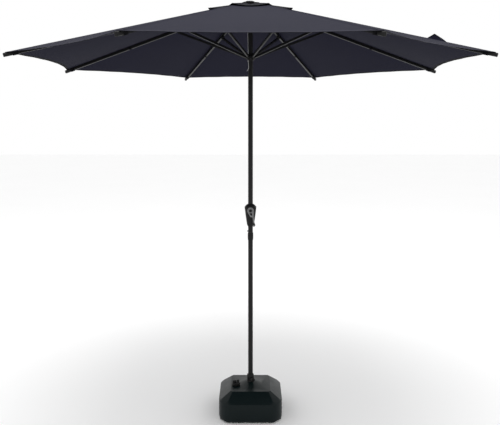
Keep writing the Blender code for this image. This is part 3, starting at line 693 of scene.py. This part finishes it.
# ---------------------------------------------------------------------------------------------
# The vent: a second, smaller set of gores over the hole, which lets the wind out. A black crown
# patch covers its middle under the finial.
VENT_INNER, VENT_TIP, VENT_BOW, VENT_SAG = 0.050, 0.276, 0.016, 0.0145
# The vent's faces: top with painted shade, inside with painted shade, and hem.
VENT_FACES = (VENT_SHADE_CLOTH, SHADED_UNDER_CLOTH, HEM_TAPE)
VENT_HIGH, VENT_LOW = (0.030, 2.5601), (0.270, 2.5138)


def vent_roof(rho):
    share = (rho - VENT_HIGH[0]) / (VENT_LOW[0] - VENT_HIGH[0])
    return VENT_HIGH[1] + share * (VENT_LOW[1] - VENT_HIGH[1])


for number in range(1, RIBS + 1):
    for side, word in ((-1, "right"), (1, "left")):
        mesh = panel_half(number, side, VENT_INNER, VENT_TIP, VENT_BOW, vent_roof, VENT_SAG, 10, 8)
        gore = place(f"vent_{number}_{word}", mesh, VENT_FACES, f"rib_{number}", 50)
        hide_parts("vent_cap")
        fold_with_rib(gore)

# The crown patch: a round of black webbing, gathered in pleats under the finial.
CROWN_RADIUS, CROWN_FLAT, CROWN_HOLE, CROWN_TOP = 0.070, 0.027, 0.0068, 2.5626
CROWN_PLEATS, PLEAT_HEIGHT, CROWN_THICK = 11, 0.0042, 0.0006
WEBBING = woven("black_webbing", (0.0025, 0.0025, 0.0035), (0.0055, 0.0055, 0.0070), thread=0.0016)


def crown_point(radius, turn):
    """Flat under the finial, then gathered in uneven pleats that die away towards the rim."""
    share = max(0, (radius - CROWN_FLAT) / (CROWN_RADIUS - CROWN_FLAT))
    over_vent = vent_roof(radius) + CLOTH + 0.0012
    uneven = 0.75 + 0.25 * sin(3 * turn + 1)
    fullness = uneven * sin(pi * min(1, share * 1.06)) ** 0.8 if 0 < share < 0.94 else 0
    pleat = PLEAT_HEIGHT * fullness * (1.25 + cos(CROWN_PLEATS * turn + 5 * share))
    z = min(CROWN_TOP - CROWN_THICK, over_vent) + pleat
    reach = radius * (1 + 0.02 * share**4 * cos(CROWN_PLEATS * turn))
    return Vector((reach * cos(turn), reach * sin(turn), z))


crown_rows, crown_around = 18, 132
crown_radii = [CROWN_HOLE + (CROWN_RADIUS - CROWN_HOLE) * n / crown_rows for n in range(crown_rows + 1)]
crown_turns = [2 * pi * n / crown_around for n in range(crown_around + 1)]
crown_lower = [[crown_point(radius, turn) for turn in crown_turns] for radius in crown_radii]
crown_upper = [[point + Vector((0, 0, CROWN_THICK)) for point in row] for row in crown_lower]
crown_marks = [
    [(0.04 + turn * radius, CROWN_RADIUS - radius) for turn in crown_turns] for radius in crown_radii
]
crown_mesh = thin_sheet(crown_upper, crown_lower, crown_marks, lambda row, column: (0, 0))
sealed = bmesh.new()
sealed.from_mesh(crown_mesh)
seam_faces = [face for face in sealed.faces if all(abs(v.co.y) < 1e-7 and v.co.x > 0 for v in face.verts)]
bmesh.ops.delete(sealed, geom=seam_faces, context="FACES_ONLY")
bmesh.ops.remove_doubles(sealed, verts=sealed.verts, dist=1e-6)
sealed.to_mesh(crown_mesh)
sealed.free()
crown = place("crown_patch", crown_mesh, WEBBING, "pole", 60)
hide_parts("vent_cap")

# Pockets and ties: black tape sewn under the canopy. A pocket at each corner holds the rib's tip,
# and two ties hold the cloth down along the rib.
POCKET_FROM, POCKET_TO = 1.346, 1.374
TIES, TIE_WIDTH = (0.300, 0.860), 0.016
TAPE = 0.0008


def sleeve(name, number, low, high, half_width, under):
    """A flat tape sleeve round a rib, sewn up to the cloth."""
    direction = FIRST_RIB + (number - 1) * 2 * pi / RIBS
    over = CLOTH_LIFT - 0.0002
    clear_selection()
    bpy.ops.mesh.primitive_cube_add(size=1, location=((low + high) / 2, 0, (over - under) / 2))
    piece = bpy.context.object
    piece.scale = (high - low, 2 * half_width, over + under)
    bpy.ops.object.transform_apply(location=True, rotation=True, scale=True)
    bpy.ops.object.mode_set(mode="EDIT")
    pick("edges", lambda middle, line: abs(line.x) > 0.9 and middle.z < 0)
    bpy.ops.mesh.bevel(offset=0.003, segments=3, affect="EDGES")
    pick("faces", lambda middle, line: abs(line.x) > 0.9)
    bpy.ops.mesh.delete(type="FACE")
    bpy.ops.object.mode_set(mode="OBJECT")
    solid = piece.modifiers.new("wall", "SOLIDIFY")
    solid.thickness, solid.offset = TAPE, 0
    bpy.ops.object.modifier_apply(modifier="wall")
    hinge = Vector((HUB_RADIUS * cos(direction), HUB_RADIUS * sin(direction), HUB_Z))
    along_rib = Matrix.Rotation(direction, 4, "Z") @ Matrix.Rotation(SLOPE, 4, "Y")
    uv = piece.data.uv_layers[0]
    for loop in piece.data.loops:
        where = piece.data.vertices[loop.vertex_index].co
        uv.data[loop.index].uv = (where.x - low, where.y + where.z + 0.05)
    piece.data.transform(Matrix.Translation(hinge) @ along_rib)
    return settle(name, WEBBING, f"rib_{number}", 40)


for number in range(1, RIBS + 1):
    sleeve(f"tip_pocket_{number}", number, POCKET_FROM, POCKET_TO, 0.0094, 0.0122)
    for middle, word in zip(TIES, ("inner", "outer")):
        low, high = middle - TIE_WIDTH / 2, middle + TIE_WIDTH / 2
        sleeve(f"{word}_tie_{number}", number, low, high, 0.0070, 0.0100)

# ---------------------------------------------------------------------------------------------
# The tie strap: a folded flap of the canopy's cloth, bound with black webbing, that wraps round the
# closed canopy. Open, it stands on the last gore in a low triangle, sewn down along its foot.
STRAP_RIB, STRAP_SHARE = 8, 0.12
STRAP_FROM, STRAP_PEAK, STRAP_TO, STRAP_RISE = 1.058, 1.108, 1.185, 0.042
STRAP_THICK = 0.0016
strap_turn = Matrix.Rotation(FIRST_RIB + (STRAP_RIB - 1) * 2 * pi / RIBS, 4, "Z")
strap_grids, strap_marks = ([], []), []
strap_columns, strap_rows = 42, 12
for r in range(strap_rows + 1):
    up = r / strap_rows
    rows, mark_row = ([], []), []
    for c in range(strap_columns + 1):
        rho = STRAP_FROM + (STRAP_TO - STRAP_FROM) * c / strap_columns
        run = (rho - STRAP_FROM) / (STRAP_PEAK - STRAP_FROM)
        if rho > STRAP_PEAK:
            run = ((STRAP_TO - rho) / (STRAP_TO - STRAP_PEAK)) ** 0.7
        rise = 0.0012 + STRAP_RISE * run * up
        lean = 0.30 * rise + 0.0016 * sin(rho * 95) * up
        cloth_x = rho * (1 - STRAP_SHARE * sin(HALF) ** 2)
        cloth_y = STRAP_SHARE * rho * cos(HALF) * sin(HALF)
        foot = roof(rho) + CLOTH + 0.0002
        for grid_row, shift in zip(rows, (0, STRAP_THICK)):
            grid_row.append(strap_turn @ Vector((cloth_x, cloth_y + lean + shift, foot + rise)))
        mark_row.append((0.03 + rise, 0.03 + rho - STRAP_FROM))
    for grid, grid_row in zip(strap_grids, rows):
        grid.append(grid_row)
    strap_marks.append(mark_row)


def strap_slots(row, column):
    """Webbing along the free edges, cloth between them."""
    bound = row >= strap_rows - 2 or column < 2 or column >= strap_columns - 3
    return (1, 1) if bound else (0, 0)


strap_mesh = thin_sheet(*strap_grids, strap_marks, strap_slots)
# The strap's cloth is the inside copy, painted darker as shade.
tie_strap = place("tie_strap_webbing", strap_mesh, (SHADED_UNDER_CLOTH, WEBBING), f"rib_{STRAP_RIB}", 50)
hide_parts("tie_strap")
fold_with_rib(tie_strap)

# ---------------------------------------------------------------------------------------------
# The studio: a pale floor, a bright even surround and one large soft light overhead.
LIGHT_AT, LIGHT_TOWARDS, LIGHT_SIZE, LIGHT_POWER = Vector((0, -0.5, 6.0)), Vector((0, 0, 2)), 4.0, 160

clear_selection()
bpy.ops.mesh.primitive_plane_add(size=60, location=(0, 0, 0))
floor = bpy.context.object
floor.name = "studio_floor"
FLOOR = Finish("pale_floor", Roughness=0.9, Specular_IOR_Level=0.1)
FLOOR.surface(FLOOR.mix(FLOOR.noise(0.6, 2), (0.95, 0.95, 0.95), (0.97, 0.97, 0.97)))
floor.data.materials.append(FLOOR.material)

world = bpy.context.scene.world or bpy.data.worlds.new("surround")
bpy.context.scene.world = world
world.use_nodes = True
world.node_tree.nodes["Background"].inputs["Color"].default_value = (1.0, 1.0, 1.0, 1)
world.node_tree.nodes["Background"].inputs["Strength"].default_value = 1.0

overhead = bpy.data.objects.new("overhead", bpy.data.lights.new("overhead", "AREA"))
overhead.data.shape, overhead.data.size, overhead.data.energy = "SQUARE", LIGHT_SIZE, LIGHT_POWER
overhead.location = LIGHT_AT
overhead.rotation_euler = (LIGHT_TOWARDS - LIGHT_AT).to_track_quat("-Z", "Y").to_euler()
bpy.context.scene.collection.objects.link(overhead)
